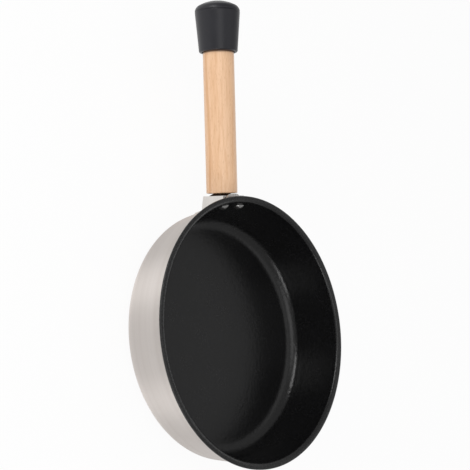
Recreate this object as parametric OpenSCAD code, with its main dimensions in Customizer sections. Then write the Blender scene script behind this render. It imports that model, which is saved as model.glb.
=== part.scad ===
// Omelette pan, 24 cm: satin steel outside, black non-stick inside, round beech handle with a black end cap.
// Origin at the centre of the face that rests on the hob, +Z up, handle along +X. Millimetres.

/* [Pan body] */
// Outside diameter across the lip
rim_d = 240; // [190:2:300]
// Height of the lip above the hob
pan_h = 61.5; // [50:0.5:90]
// How far the wall leans outwards, in degrees from upright
wall_lean = 5.7; // [1:0.1:12]
// Outside radius of the bend between base and wall
bend_r = 14.8; // [10:0.2:26]
// Thickness of the pressed steel sheet
sheet_t = 1.6; // [1:0.1:2.4]
// Thickness of the non-stick coating
coat_t = 0.4; // [0.3:0.05:0.6]
// From the lip's outer edge in to the centre of the curl under it
lip_reach = 2.4; // [2:0.1:5]
// Inside radius of the curl that turns the wall out into the lip
curl_r = 1.5; // [1:0.1:2.5]

/* [Base] */
// From the edge of the flat bottom in to the edge of the base plate
base_margin = 5.2; // [2:0.2:12]
// Thickness of the aluminium heat core
core_t = 4.2; // [2.5:0.1:6]
// Thickness of the steel base plate that wraps the core
plate_t = 0.8; // [0.6:0.1:1.4]
// Diameter of the plain disc in the middle of the base
base_disc_d = 60; // [40:2:90]
// Number of turned rings around that disc
ring_count = 5; // [1:1:8]
// Distance from one ring to the next
ring_pitch = 5; // [4:0.5:8]
// Width of a ring
ring_w = 1.4; // [0.8:0.1:2]
// Depth of a ring
ring_deep = 0.3; // [0.2:0.05:0.4]

/* [Handle position] */
// From the top of the lip down to the handle's centre line, measured at the rim
handle_drop = 23; // [20:0.5:26]
// How far the handle rises, in degrees
handle_rise = 9; // [4:0.5:14]

/* [Bracket] */
// Side of the square bracket
bracket_w = 28; // [26:0.5:32]
// Length of the bracket along the handle, from the pan's wall to its end
bracket_len = 9.9; // [9:0.1:18]
// Thickness of the bracket sheet
bracket_t = 1; // [0.8:0.1:1.4]
// How much the lower side rises towards the grip
bracket_taper = 2.2; // [0.1:0.1:3]
// How far the middle of the top plate reaches past the cheeks, along the handle
top_reach = 1.8; // [0.5:0.1:2]
// How far the corners of the top plate's rounded edge lie behind its middle
top_round = 1.8; // [0.2:0.1:3]
// Thickness of the bracket's end plate
end_plate_t = 2; // [1.5:0.1:3]
// Radius of the folded lower corners
bracket_fold_r = 3; // [2:0.25:8]
// Width of the open seam beside each cheek
seam_w = 1.2; // [0.6:0.1:2]
// How far the flanges reach past the bracket, sideways
flange_side = 8; // [5:0.5:12]
// How far the flanges reach past the bracket, up and down
flange_rise = 2.6; // [2:0.1:3]
// Radius of the flange corners
flange_corner_r = 4; // [2:0.5:6]

/* [Rivets] */
// Shank diameter of a rivet
rivet_d = 4; // [3:0.25:4.25]
// How far the domed head inside the pan stands out past the shank, all round
rivet_head_ledge = 2.8; // [1.6:0.1:3.6]
// Height of that head
rivet_head_h = 2.8; // [1.5:0.1:3.5]
// How far the closed end inside the bracket stands out past the shank, all round
rivet_tail_ledge = 0.4; // [0.2:0.1:1]
// Height of that closed end
rivet_tail_h = 1.2; // [0.8:0.1:1.6]

/* [Tie bolt] */
// Diameter of the bolt that runs through the handle
bolt_d = 6; // [4:0.5:8]
// How far its head stands out past the shank, all round
head_ledge = 2; // [1.5:0.1:3]
// Height of its head
bolt_head_h = 6; // [4:0.5:8]
// Hexagon socket across flats
socket_af = 5; // [4:0.5:6]
// Depth of that socket
socket_deep = 3; // [2:0.25:3.5]
// Wall of the weld nut at its flats
nut_wall = 2; // [1.5:0.1:3.5]
// Height of the weld nut
nut_h = 4; // [3:0.25:4]
// How far the bolt's tip stands out of the nut
bolt_tip = 0.8; // [0.2:0.1:1]
// How far the flat washer stands out past the bolt's head, all round
washer_ledge = 1; // [0.5:0.1:2]
// Thickness of the flat washer
washer_t = 1.6; // [1:0.1:2]
// How far the spring washer stands out past the bolt's head, all round
spring_ledge = 0.5; // [0:0.1:1]
// Thickness of the spring washer
spring_t = 1.6; // [1:0.1:2]
// Width of the cut in the spring washer
spring_cut = 1.2; // [0.6:0.1:2]

/* [Grip] */
// Diameter of the beech grip
grip_d = 28.2; // [24:0.2:34]
// Length of the beech grip, with the part inside the cap
grip_len = 163; // [130:1:200]
// Radius that takes the edge off both ends
grip_edge_r = 1; // [0.5:0.1:2]
// Depth of the pocket for the bolt head
pocket_deep = 12; // [10:0.5:20]
// Thickness of the black spacer between bracket and grip
spacer_t = 2.4; // [1.5:0.1:6]
// From the lower edge of the bracket's end in to the edge of the spacer
spacer_margin = 0.2; // [0:0.1:3]
// How much the spacer narrows towards the grip, all round
spacer_taper = 4; // [0:0.1:5]

/* [End cap] */
// Wall of the cap at its mouth
cap_mouth_wall = 3.3; // [2:0.1:6]
// Wall of the cap at its widest place
cap_wide_wall = 6.3; // [5:0.1:9]
// From the mouth to the widest place
cap_taper_len = 36; // [28:0.2:44]
// Height of the dome past the widest place
cap_dome_h = 10.2; // [9:0.2:16]
// Radius of the dome's shoulder
cap_shoulder_r = 6.4; // [4:0.2:8]
// Radius of the mouth's edge
cap_mouth_r = 1.4; // [0.8:0.1:1.6]
// Depth of the air pocket over the grip's end
cap_pocket_deep = 5; // [2:0.5:6]
// Width of the ledge around that pocket, which rests on the grip's end
cap_ledge_w = 4.6; // [3:0.1:6]
// Width of the bead inside the cap that holds it on
bead_w = 3; // [2:0.25:5]
// Height of that bead
bead_h = 0.8; // [0.4:0.1:1.2]
// From the cap's mouth to the bead
bead_at = 18; // [12:0.5:22]

/* [Clearances] */
// Between the bolt and the grip, spacer and bracket, all round
bolt_clear = 0.3; // [0.1:0.05:0.6]
// Between a thread or rivet and its hole, all round
snug = 0.05; // [0.02:0.01:0.1]
// Between the closed ends of the rivets and the bracket's walls
rivet_clear = 0.2; // [0.1:0.05:0.5]
// Between the bolt head's washers and the pocket, all round
pocket_clear = 0.6; // [0.3:0.1:1]

/* [Hidden] */
$fn = 120;

bend_steps = 14;
curl_steps = 8;
edge_steps = 8;
dome_steps = 12;

rim_r = rim_d / 2;
base_t = core_t + plate_t;
// Far enough back along the handle to start inside the pan
bar_back = 30;
// How far a cut reaches past the faces that it opens
past = 1;
// Centre of the curl, of the lip's rounded edge and of the bend, each as [radius, height]
curl_c = [rim_r - lip_reach, pan_h - coat_t - sheet_t - curl_r];
lip_c = [rim_r - coat_t - sheet_t / 2, pan_h - coat_t - sheet_t / 2];
bend_c = [curl_c[0] - tan(wall_lean) * (curl_c[1] - base_t - bend_r) - (curl_r + bend_r) / cos(wall_lean),
          base_t + bend_r];
inner_d = sheet_t + coat_t;
plate_r = bend_c[0] - base_margin;
core_r = plate_r - plate_t;

// Places along the handle are measured from the rim, where its centre line has the height handle_z
handle_z = pan_h - handle_drop;
wall_axis_z = handle_z - (rim_r - wall_r(handle_z, 0)) * tan(handle_rise);
bracket_end = bracket_len - (rim_r - wall_r(wall_axis_z, 0)) / cos(handle_rise);
grip_start = bracket_end + spacer_t;
grip_end = grip_start + grip_len;
seat_s = grip_end - pocket_deep;
head_s = seat_s + washer_t + spring_t;
nut_s = bracket_end - end_plate_t;
bolt_head_d = bolt_d + 2 * head_ledge;
bolt_bore_d = bolt_d + 2 * bolt_clear;
washer_d = bolt_head_d + 2 * washer_ledge;
spring_d = bolt_head_d + 2 * spring_ledge;
// The mouth stands so that the widest place of the cap is level with the end of the grip
cap_s = grip_end - cap_taper_len;
// The rivets sit in the two upper corners of the bracket
rivet_head_d = rivet_d + 2 * rivet_head_ledge;
rivet_tail_d = rivet_d + 2 * rivet_tail_ledge;
corner_y = bracket_w / 2 - bracket_t - rivet_clear - rivet_tail_d / 2;
rivet_z = wall_axis_z + (bracket_w / 2 - bracket_t) / cos(handle_rise) - rivet_clear - rivet_tail_d / 2;
rivet_turn = asin(corner_y / wall_r(rivet_z, 0));

// Points of an arc about c, from angle a to angle b
function arc(c, r, a, b, steps) =
    [for (i = [0 : steps]) let (t = a + (b - a) * i / steps) c + r * [cos(t), sin(t)]];
function turned_back(list) = [for (i = [len(list) - 1 : -1 : 0]) list[i]];
// Radius of the wall at height z, at depth d inside its outer face
function wall_r(z, d) = curl_c[0] - tan(wall_lean) * (curl_c[1] - z) - (curl_r + d) / cos(wall_lean);
// Base, bend and wall at depth d inside the outer face, from the middle up to the start of the curl
function bowl(d) = concat([[0, base_t + d]], arc(bend_c, bend_r - d, -90, -wall_lean, bend_steps));
function curl(d) = arc(curl_c, curl_r + d, 180 - wall_lean, 90, curl_steps);
function lip(r, a, b) = arc(lip_c, r, a, b, edge_steps);

// Everything inside the face at depth d, up to height z
module bowl_filled(d, z) {
    rotate_extrude() polygon(concat(bowl(d), [[wall_r(z, d), z], [0, z]]));
}

// Local +Z runs along the handle from the rim outwards, local -X is up
module along_handle(s = 0) {
    translate([rim_r, 0, handle_z]) rotate([0, 90 - handle_rise, 0]) translate([0, 0, s]) children();
}

// Both rivet places, with local +Z square to the wall and outwards, and zero at the wall's outer face
module at_rivets() {
    for (side = [-1, 1]) {
        rotate([0, 0, side * rivet_turn]) translate([wall_r(rivet_z, 0), 0, rivet_z])
            rotate([0, 90 + wall_lean, 0]) children();
    }
}

module rivet_holes() {
    depth = inner_d + 2 * past;
    at_rivets() translate([0, 0, -depth]) cylinder(d = rivet_d + 2 * snug, h = depth + bracket_t + past);
}

module pan_body() {
    color("#cfcac5") difference() {
        rotate_extrude() polygon(concat(bowl(0), curl(0), lip(sheet_t / 2, -90, 90),
                                        turned_back(concat(bowl(sheet_t), curl(sheet_t)))));
        rivet_holes();
    }
}

// The coat covers the inside, goes over the lip and ends under its edge
module nonstick_lining() {
    color("#1c1c1e") difference() {
        rotate_extrude() polygon(concat(bowl(sheet_t), curl(sheet_t), lip(sheet_t / 2, 90, -90),
                                        lip(sheet_t / 2 + coat_t, -90, 90),
                                        turned_back(concat(bowl(inner_d), curl(inner_d)))));
        rivet_holes();
    }
}

module heat_core() {
    color("#b9bcc0") translate([0, 0, plate_t]) cylinder(r = core_r, h = core_t);
}

// A shallow steel dish, pressed over the core and bonded to the underside of the pan
module base_plate() {
    color("#c4c1bd") difference() {
        rotate_extrude() polygon(concat([[0, 0]],
                                        arc([core_r, plate_t], plate_t, -90, 0, edge_steps),
                                        [[plate_r, base_t], [core_r, base_t], [core_r, plate_t],
                                         [0, plate_t]]));
        for (i = [0 : ring_count - 1]) {
            ring_r = base_disc_d / 2 + i * ring_pitch;
            rotate_extrude() translate([ring_r, -past]) square([ring_w, past + ring_deep]);
        }
    }
}

// Lower part of the bracket's section with its two folds. The lower side lies at x = 0, less the inset
module folded_section(inset) {
    half = bracket_w / 2 - inset;
    r = bracket_fold_r - inset;
    reach = 2 * bracket_w;
    union() {
        translate([-reach, -half]) square([reach - inset - r, 2 * half]);
        translate([-reach, r - half]) square([reach - inset, 2 * half - 2 * r]);
        for (side = [-1, 1]) translate([-inset - r, side * (half - r)]) circle(r);
    }
}

// The bracket as a solid bar from inside the pan up to its end. Its upper corners are square, and its
// lower side rises towards the end, folds and all
module bracket_bar(inset, end_s) {
    slope = atan(bracket_taper / bracket_len);
    side = bracket_w - 2 * inset;
    along_handle() intersection() {
        translate([inset - bracket_w / 2, -side / 2, -bar_back]) cube([bracket_w, side, bar_back + end_s]);
        translate([bracket_w / 2 - bracket_taper, 0, bracket_end]) rotate([0, -slope, 0])
            translate([0, 0, -2 * bar_back]) linear_extrude(3 * bar_back) folded_section(inset);
    }
}

module rounded_plate(w, h, r) {
    union() {
        square([w - 2 * r, h], center = true);
        square([w, h - 2 * r], center = true);
        for (x = [-1, 1], y = [-1, 1]) translate([x * (w / 2 - r), y * (h / 2 - r)]) circle(r);
    }
}

module handle_bracket() {
    seam_y = bracket_w / 2 - bracket_t - seam_w;
    edge_r = (pow(seam_y, 2) + pow(top_round, 2)) / (2 * top_round);
    edge_turn = asin(seam_y / edge_r);
    color("#d8d4cf") difference() {
        union() {
            bracket_bar(0, bracket_end);
            // Top plate, longer than the cheeks and with a rounded edge
            along_handle(bracket_end) translate([bracket_t - bracket_w / 2, 0, 0]) rotate([0, -90, 0])
                linear_extrude(bracket_t)
                    polygon(concat([[-bracket_len / 2, -seam_y]],
                                   arc([top_reach - edge_r, 0], edge_r, -edge_turn, edge_turn, edge_steps),
                                   [[-bracket_len / 2, seam_y]]));
            // Flanges that lie on the wall
            intersection() {
                bowl_filled(-bracket_t, curl_c[1]);
                translate([0, 0, wall_axis_z]) rotate([90, 0, 90])
                    linear_extrude(rim_r)
                        rounded_plate(bracket_w + 2 * flange_side, bracket_w + 2 * flange_rise,
                                      flange_corner_r);
            }
        }
        // Hollow of the box, kept off the flange
        difference() {
            bracket_bar(bracket_t, nut_s);
            bowl_filled(-bracket_t, curl_c[1]);
        }
        bowl_filled(0, pan_h);
        along_handle(nut_s - past) cylinder(d = bolt_bore_d, h = end_plate_t + 2 * past);
        for (side = [-1, 1]) {
            along_handle(-bar_back)
                translate([-bracket_w / 2 - past, side * (seam_y + seam_w / 2) - seam_w / 2, 0])
                    cube([past + bracket_t, seam_w, bar_back + bracket_end + top_reach + past]);
        }
        rivet_holes();
    }
}

// The flat underside of a head meets the curved coating at its two sides
module bracket_rivets() {
    ball_r = (pow(rivet_head_d / 2, 2) + pow(rivet_head_h, 2)) / (2 * rivet_head_h);
    edge = asin(rivet_head_d / 2 / ball_r);
    head_seat = inner_d + pow(rivet_head_d / 2, 2) / (2 * wall_r(rivet_z, inner_d)) + snug;
    color("#d9d9d9") at_rivets() rotate_extrude() polygon(concat(
        arc([0, ball_r - rivet_head_h - head_seat], ball_r, -90, edge - 90, edge_steps),
        [[rivet_d / 2, -head_seat], [rivet_d / 2, bracket_t + snug],
         [rivet_tail_d / 2, bracket_t + snug], [rivet_tail_d / 2, bracket_t + snug + rivet_tail_h],
         [0, bracket_t + snug + rivet_tail_h]]));
}

module weld_nut() {
    color("#a8a8a8") along_handle(nut_s - nut_h) difference() {
        cylinder(d = (bolt_d + 2 * nut_wall) / cos(30), h = nut_h, $fn = 6);
        translate([0, 0, -past]) cylinder(d = bolt_d + 2 * snug, h = nut_h + 2 * past);
    }
}

module spacer() {
    r = bracket_w / 2 - bracket_taper - spacer_margin;
    color("#241e1b") along_handle(bracket_end) difference() {
        cylinder(r1 = r, r2 = r - spacer_taper, h = spacer_t);
        translate([0, 0, -past]) cylinder(d = bolt_bore_d, h = spacer_t + 2 * past);
    }
}

module wood_grip() {
    r = grip_d / 2;
    color("#e6bf98") along_handle(grip_start) difference() {
        rotate_extrude() polygon(concat([[0, 0]],
                                        arc([r - grip_edge_r, grip_edge_r], grip_edge_r, -90, 0, edge_steps),
                                        arc([r - grip_edge_r, grip_len - grip_edge_r], grip_edge_r, 0, 90,
                                            edge_steps),
                                        [[0, grip_len]]));
        translate([0, 0, -past]) cylinder(d = bolt_bore_d, h = grip_len + 2 * past);
        translate([0, 0, grip_len - pocket_deep])
            cylinder(d = washer_d + 2 * pocket_clear, h = pocket_deep + past);
        // Groove for the bead of the cap
        translate([0, 0, cap_s + bead_at - grip_start]) rotate_extrude()
            translate([r - bead_h - snug, -snug]) square([bead_h + past, bead_w + 2 * snug]);
    }
}

module tie_bolt() {
    tip_s = nut_s - nut_h - bolt_tip;
    shank_len = head_s - tip_s;
    color("#b5b5b5") along_handle(tip_s) difference() {
        rotate_extrude() polygon([[0, 0], [bolt_d / 2, 0], [bolt_d / 2, shank_len],
                                  [bolt_head_d / 2, shank_len], [bolt_head_d / 2, shank_len + bolt_head_h],
                                  [0, shank_len + bolt_head_h]]);
        translate([0, 0, shank_len + bolt_head_h - socket_deep])
            cylinder(d = socket_af / cos(30), h = socket_deep + past, $fn = 6);
    }
}

module flat_washer() {
    color("#b0b0b0") along_handle(seat_s) difference() {
        cylinder(d = washer_d, h = washer_t);
        translate([0, 0, -past]) cylinder(d = bolt_bore_d, h = washer_t + 2 * past);
    }
}

module spring_washer() {
    color("#8f8f8f") along_handle(seat_s + washer_t) difference() {
        cylinder(d = spring_d, h = spring_t);
        translate([0, 0, -past]) cylinder(d = bolt_bore_d, h = spring_t + 2 * past);
        translate([0, -spring_cut / 2, -past]) cube([spring_d, spring_cut, spring_t + 2 * past]);
    }
}

// The dome is a small shoulder arc that runs on into a wide arc centred on the axis
module end_cap() {
    mouth_r = grip_d / 2 + cap_mouth_wall;
    shoulder_x = grip_d / 2 + cap_wide_wall - cap_shoulder_r;
    rise = cap_dome_h - cap_shoulder_r;
    crown_drop = (pow(shoulder_x, 2) - pow(rise, 2)) / (2 * rise);
    crown_r = crown_drop + cap_dome_h;
    join = atan2(crown_drop, shoulder_x);
    color("#39393c") along_handle(cap_s) difference() {
        rotate_extrude() polygon(concat(
            [[0, 0]],
            arc([mouth_r - cap_mouth_r, cap_mouth_r], cap_mouth_r, -90, 0, edge_steps),
            arc([shoulder_x, cap_taper_len], cap_shoulder_r, 0, join, dome_steps),
            arc([0, cap_taper_len - crown_drop], crown_r, join, 90, dome_steps)));
        difference() {
            translate([0, 0, -past]) cylinder(d = grip_d, h = past + cap_taper_len);
            translate([0, 0, bead_at]) rotate_extrude()
                translate([grip_d / 2 - bead_h, 0]) square([bead_h + past, bead_w]);
        }
        translate([0, 0, cap_taper_len - past])
            cylinder(d = grip_d - 2 * cap_ledge_w, h = past + cap_pocket_deep);
    }
}

pan_body();
nonstick_lining();
heat_core();
base_plate();
handle_bracket();
bracket_rivets();
weld_nut();
spacer();
wood_grip();
tie_bolt();
flat_washer();
spring_washer();
end_cap();
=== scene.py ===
# %% [markdown]
# # An omelette pan, dressed for its photograph
# The CAD model of this pan is packed: it says where each piece is and how big. This notebook gives it
# its looks. The CAD meshes could be smoothed, but their facets would stay, so the pieces that show are
# modelled again from a few real sizes. Those hidden inside keep their CAD shape and get a finish.

# %% Load the CAD model as a fixed frame
import math

import bmesh
import bpy
from mathutils import Matrix, Vector


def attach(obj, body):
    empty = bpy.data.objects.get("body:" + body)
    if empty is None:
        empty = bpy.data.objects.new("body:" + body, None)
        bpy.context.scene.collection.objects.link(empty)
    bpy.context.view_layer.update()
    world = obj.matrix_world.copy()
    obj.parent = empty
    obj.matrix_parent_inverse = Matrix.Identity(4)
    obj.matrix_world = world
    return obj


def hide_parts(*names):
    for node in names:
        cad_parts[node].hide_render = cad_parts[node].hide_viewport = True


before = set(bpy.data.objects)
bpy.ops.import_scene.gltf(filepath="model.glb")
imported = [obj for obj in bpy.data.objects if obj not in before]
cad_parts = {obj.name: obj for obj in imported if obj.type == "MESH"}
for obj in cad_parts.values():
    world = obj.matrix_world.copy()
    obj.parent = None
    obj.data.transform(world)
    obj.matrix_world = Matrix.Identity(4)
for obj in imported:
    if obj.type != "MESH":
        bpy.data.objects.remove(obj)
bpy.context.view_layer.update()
print("CAD pieces:", sorted(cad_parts))

# %% [markdown]
# ## The pan's own sizes
# The sizes are the CAD source's, in millimetres, and become metres when a mesh is finished. The pan is
# one shape at several depths: its outer face at 0, the steel's inner face at 1.6 mm, the coating's at 2
# mm. So one function gives the leaning wall's radius to every piece that touches it.

# %% Sizes of the pan
MM = 0.001
RIM_R, PAN_H = 120.0, 61.5
LEAN = math.radians(5.7)
SHEET, COAT = 1.6, 0.4
INSIDE = SHEET + COAT
CURL_R, LIP_REACH, BEND_R = 1.5, 2.4, 14.8
CORE_T, PLATE_T, BASE_MARGIN = 4.2, 0.8, 5.2
BASE_T = CORE_T + PLATE_T
CURL_X, CURL_Z = RIM_R - LIP_REACH, PAN_H - COAT - SHEET - CURL_R


def wall_radius(height, depth):
    """Radius of the leaning wall at a height, at a depth inside its outer face."""
    return CURL_X - math.tan(LEAN) * (CURL_Z - height) - (CURL_R + depth) / math.cos(LEAN)


BEND_X = wall_radius(BASE_T + BEND_R, BEND_R)
PLATE_R = BEND_X - BASE_MARGIN
print("flat bottom radius", round(BEND_X, 2), "base plate radius", round(PLATE_R, 2), "mm")

# %% [markdown]
# ## Drawing a section
# Most of a pan is turned on a lathe or spun over a former: a section, drawn once and spun round an
# axis. Its round corners could be worked out point by point, but a bevel puts a true arc on a vertex.
# Long straight runs are divided, so that the shading stays smooth.

# %% Helper that draws a section
ARC_STEP, SMALL_ROUNDING = math.radians(7), 0.3


def draw_section(bm, corners, longest):
    """Draws a closed section from (x, z, rounding) corners and rounds them. Returns its edges."""
    points = [Vector((x, 0, z)) for x, z, _ in corners]
    verts = [bm.verts.new(p) for p in points]
    for a, b in zip(verts, verts[1:] + verts[:1]):
        bm.edges.new((a, b))
    for i, (vert, (_, _, rounding)) in enumerate(zip(verts, corners)):
        if rounding <= 0:
            continue
        before = (points[i] - points[i - 1]).normalized()
        after = (points[(i + 1) % len(points)] - points[i]).normalized()
        turn = before.angle(after)
        arcs = 2 if rounding < SMALL_ROUNDING else max(3, round(turn / ARC_STEP))
        bmesh.ops.bevel(bm, geom=[vert], offset=rounding * math.tan(turn / 2), offset_type="OFFSET",
                        segments=arcs, profile=0.5, affect="VERTICES", material=-1)
    for edge in [e for e in bm.edges if e.calc_length() > longest]:
        bmesh.ops.subdivide_edges(bm, edges=[edge], cuts=int(edge.calc_length() / longest))
    return list(bm.edges)


print("a quarter round gets", round(math.pi / 2 / ARC_STEP), "short edges")

# %% [markdown]
# ## Spinning it
# A Screw modifier could spin the section too, but the bmesh operator leaves a mesh that later steps can
# change. An edge on the axis would spin into nothing, so it goes first, and the points that meet on the
# axis are merged after.

# %% Helper that spins a section
LATHE_STEPS, ON_AXIS, MERGE = 192, 1e-6, 0.001


def turn_on_lathe(corners, longest=6.0, steps=LATHE_STEPS):
    """A bmesh, in millimetres, of a section spun all the way round the z axis."""
    bm = bmesh.new()
    edges = draw_section(bm, corners, longest)
    on_axis = [e for e in edges if all(abs(v.co.x) < ON_AXIS for v in e.verts)]
    bmesh.ops.delete(bm, geom=on_axis, context="EDGES")
    bmesh.ops.spin(bm, geom=list(bm.verts) + list(bm.edges), cent=(0, 0, 0), axis=(0, 0, 1),
                   angle=math.tau, steps=steps, use_merge=True)
    bmesh.ops.remove_doubles(bm, verts=list(bm.verts), dist=MERGE)
    bmesh.ops.delete(bm, geom=[v for v in bm.verts if not v.link_faces], context="VERTS")
    bmesh.ops.recalc_face_normals(bm, faces=list(bm.faces))
    return bm


print("one step of the lathe is", 360 / LATHE_STEPS, "degrees")

# %% [markdown]
# ## Finishing a piece
# Every piece ends the same way. Its place goes into its mesh, so that its object stays at the origin
# and patterns don't slide. Faces are shaded smooth, apart from real corners. Then it rides on the body,
# and the CAD node it stands for is hidden.

# %% Helper that finishes a piece
SHARP_FROM = math.radians(40)


def add_object(name, data):
    """Puts a mesh, a lamp or a camera into the scene as an object at the origin."""
    made = bpy.data.objects.new(name, data)
    bpy.context.scene.collection.objects.link(made)
    return made


def finish_piece(name, bm, node, place=None):
    """Turns a bmesh in millimetres into an object in metres that stands for a CAD node."""
    bmesh.ops.transform(bm, matrix=Matrix.Scale(MM, 4) @ (place or Matrix()), verts=list(bm.verts))
    for edge in bm.edges:
        edge.smooth = len(edge.link_faces) != 2 or edge.calc_face_angle() < SHARP_FROM
    for face in bm.faces:
        face.smooth = True
    mesh = bpy.data.meshes.new(name)
    bm.to_mesh(mesh)
    open_edges = sum(len(e.link_faces) != 2 for e in bm.edges)
    bm.free()
    piece = add_object(name, mesh)
    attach(piece, "root")
    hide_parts(node)
    print(f"{name}: {len(mesh.polygons)} faces, {open_edges} open edges,",
          "size in mm", [round(x / MM, 1) for x in piece.dimensions])
    return piece


print("edges are drawn sharp from", round(math.degrees(SHARP_FROM)), "degrees")

# %% [markdown]
# ## The pressed steel body
# The body is one sheet of steel, pressed into a bowl and curled out at the top into a lip. It could be
# a surface with a Solidify modifier, but a press has its own rule: an inside radius is the outside one
# less the depth. So one path is drawn twice, on each face of the sheet, with a half round at the lip.

# %% Steel body
def floor_corner(depth):
    """The corner between floor and wall, rounded by the pressed bend."""
    height = BASE_T + depth
    return (wall_radius(height, depth), height, BEND_R - depth)


def curl_corner(depth):
    """The corner between wall and lip, rounded by the curl."""
    height = CURL_Z + CURL_R + depth
    return (wall_radius(height, depth), height, CURL_R + depth)


LIP_LOW, LIP_HIGH = CURL_Z + CURL_R, CURL_Z + CURL_R + SHEET
LIP_EDGE = RIM_R - COAT
body_section = [(0, BASE_T, 0), floor_corner(0), curl_corner(0),
                (LIP_EDGE, LIP_LOW, SHEET / 2), (LIP_EDGE, LIP_HIGH, SHEET / 2),
                curl_corner(SHEET), floor_corner(SHEET), (0, BASE_T + SHEET, 0)]
pan_shell = finish_piece("pan_shell", turn_on_lathe(body_section, longest=5.0), "pan_body")

# %% [markdown]
# ## The non-stick lining
# The coating is sprayed on before the handle goes on. It covers the inside, runs over the lip and ends
# underneath its edge, which gives the photograph its dark rim. It could be paint on the steel's faces,
# but a thin skin of its own has an edge that can be seen.

# %% Lining
LINING_STEPS = 256
lining_section = [(0, BASE_T + SHEET, 0), floor_corner(SHEET), curl_corner(SHEET),
                  (LIP_EDGE, LIP_HIGH, SHEET / 2), (LIP_EDGE, LIP_LOW, SHEET / 2),
                  (LIP_EDGE - SHEET / 2, LIP_LOW, 0), (LIP_EDGE - SHEET / 2, LIP_LOW - COAT, 0),
                  (RIM_R, LIP_LOW - COAT, SHEET / 2 + COAT), (RIM_R, PAN_H, SHEET / 2 + COAT),
                  curl_corner(INSIDE), floor_corner(INSIDE), (0, BASE_T + INSIDE, 0)]
lining = finish_piece("lining", turn_on_lathe(lining_section, longest=4.0, steps=LINING_STEPS),
                      "nonstick_lining")

# %% [markdown]
# ## The base plate
# A shallow steel dish is pressed over the aluminium core. Five rings are turned into its face, and
# every edge that a lathe tool leaves is broken by a small round, so that it catches the light. Bump
# could fake the rings, but four corners a ring are cheap and true from any side.

# %% Base plate
DISC_R, RING_COUNT, RING_PITCH, RING_W, RING_DEEP, BROKEN_EDGE = 30.0, 5, 5.0, 1.4, 0.3, 0.12
CORE_R = PLATE_R - PLATE_T
plate_section = [(0, 0, 0)]
for ring in range(RING_COUNT):
    inner = DISC_R + ring * RING_PITCH
    plate_section += [(inner, 0, BROKEN_EDGE), (inner, RING_DEEP, BROKEN_EDGE),
                      (inner + RING_W, RING_DEEP, BROKEN_EDGE), (inner + RING_W, 0, BROKEN_EDGE)]
plate_section += [(PLATE_R, 0, PLATE_T), (PLATE_R, BASE_T, 0), (CORE_R, BASE_T, 0),
                  (CORE_R, PLATE_T, 0), (0, PLATE_T, 0)]
base_disc = finish_piece("base_disc", turn_on_lathe(plate_section, longest=8.0), "base_plate")

# %% [markdown]
# ## Where the handle is
# The handle rises from the pan at nine degrees. Everything on it is drawn along an axis of its own:
# local z runs along the handle from the rim outwards, and local -x is up. One matrix then turns such a
# drawing into the pan's frame, so no piece is turned by hand.

# %% Frame of the handle
HANDLE_DROP, RISE = 23.0, math.radians(9)
HANDLE_Z = PAN_H - HANDLE_DROP
BRACKET_LEN, BRACKET_W, BRACKET_T, BRACKET_TAPER = 9.9, 28.0, 1.0, 2.2
handle_turn = math.pi / 2 - RISE
ON_HANDLE = Matrix.Translation((RIM_R, 0, HANDLE_Z)) @ Matrix.Rotation(handle_turn, 4, "Y")
WALL_AXIS_Z = HANDLE_Z - (RIM_R - wall_radius(HANDLE_Z, 0)) * math.tan(RISE)
BRACKET_END = BRACKET_LEN - (RIM_R - wall_radius(WALL_AXIS_Z, 0)) / math.cos(RISE)
SPACER_T, GRIP_LEN, GRIP_R = 2.4, 163.0, 14.1
GRIP_START = BRACKET_END + SPACER_T
GRIP_END = GRIP_START + GRIP_LEN
print("bracket ends at", round(BRACKET_END, 2), "grip from", round(GRIP_START, 2), "to",
      round(GRIP_END, 2), "mm along the handle")

# %% [markdown]
# ## The wooden grip
# The grip is a turned beech rod, with a bore for the tie bolt, a pocket for the bolt's head, a groove
# for the bead of the cap and two softened ends. Cylinders and Booleans could cut all that, but it is
# round about one axis, so it is one section to spin.

# %% Grip
BORE_R, GRIP_EDGE, POCKET_R, POCKET_DEEP = 3.3, 1.0, 6.6, 12.0
CAP_TAPER_LEN, BEAD_W, BEAD_H, BEAD_AT, SNUG = 36.0, 3.0, 0.8, 18.0, 0.05
CAP_S = GRIP_END - CAP_TAPER_LEN
groove_r, groove_from = GRIP_R - BEAD_H - SNUG, CAP_S + BEAD_AT - SNUG
groove_to = groove_from + BEAD_W + 2 * SNUG
grip_section = [(BORE_R, GRIP_START, 0), (GRIP_R, GRIP_START, GRIP_EDGE), (GRIP_R, groove_from, 0),
                (groove_r, groove_from, 0), (groove_r, groove_to, 0), (GRIP_R, groove_to, 0),
                (GRIP_R, GRIP_END, GRIP_EDGE), (POCKET_R, GRIP_END, 0),
                (POCKET_R, GRIP_END - POCKET_DEEP, 0), (BORE_R, GRIP_END - POCKET_DEEP, 0)]
grip = finish_piece("grip", turn_on_lathe(grip_section, steps=96), "wood_grip", ON_HANDLE)

# %% [markdown]
# ## The black spacer
# A dark ring keeps the wood off the steel. In the photograph it is a thin dark lens, wide at the
# bracket and narrow at the wood, so a plain washer would look wrong. Its side is a short land at the
# bracket and then a slope inwards.

# %% Spacer
SPACER_MARGIN, SPACER_TAPER, LAND_ROUND = 0.2, 4.0, 0.2
LAND_T, LAND_IN, SLOPE_ROUND = 0.5, 0.3, 0.4
SPACER_R = BRACKET_W / 2 - BRACKET_TAPER - SPACER_MARGIN
spacer_section = [(BORE_R, BRACKET_END, 0), (SPACER_R, BRACKET_END, LAND_ROUND),
                  (SPACER_R - LAND_IN, BRACKET_END + LAND_T, SLOPE_ROUND),
                  (SPACER_R - SPACER_TAPER, GRIP_START, 0), (BORE_R, GRIP_START, 0)]
spacer_ring = finish_piece("spacer_ring", turn_on_lathe(spacer_section, longest=3.0, steps=96),
                           "spacer", ON_HANDLE)

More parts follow.
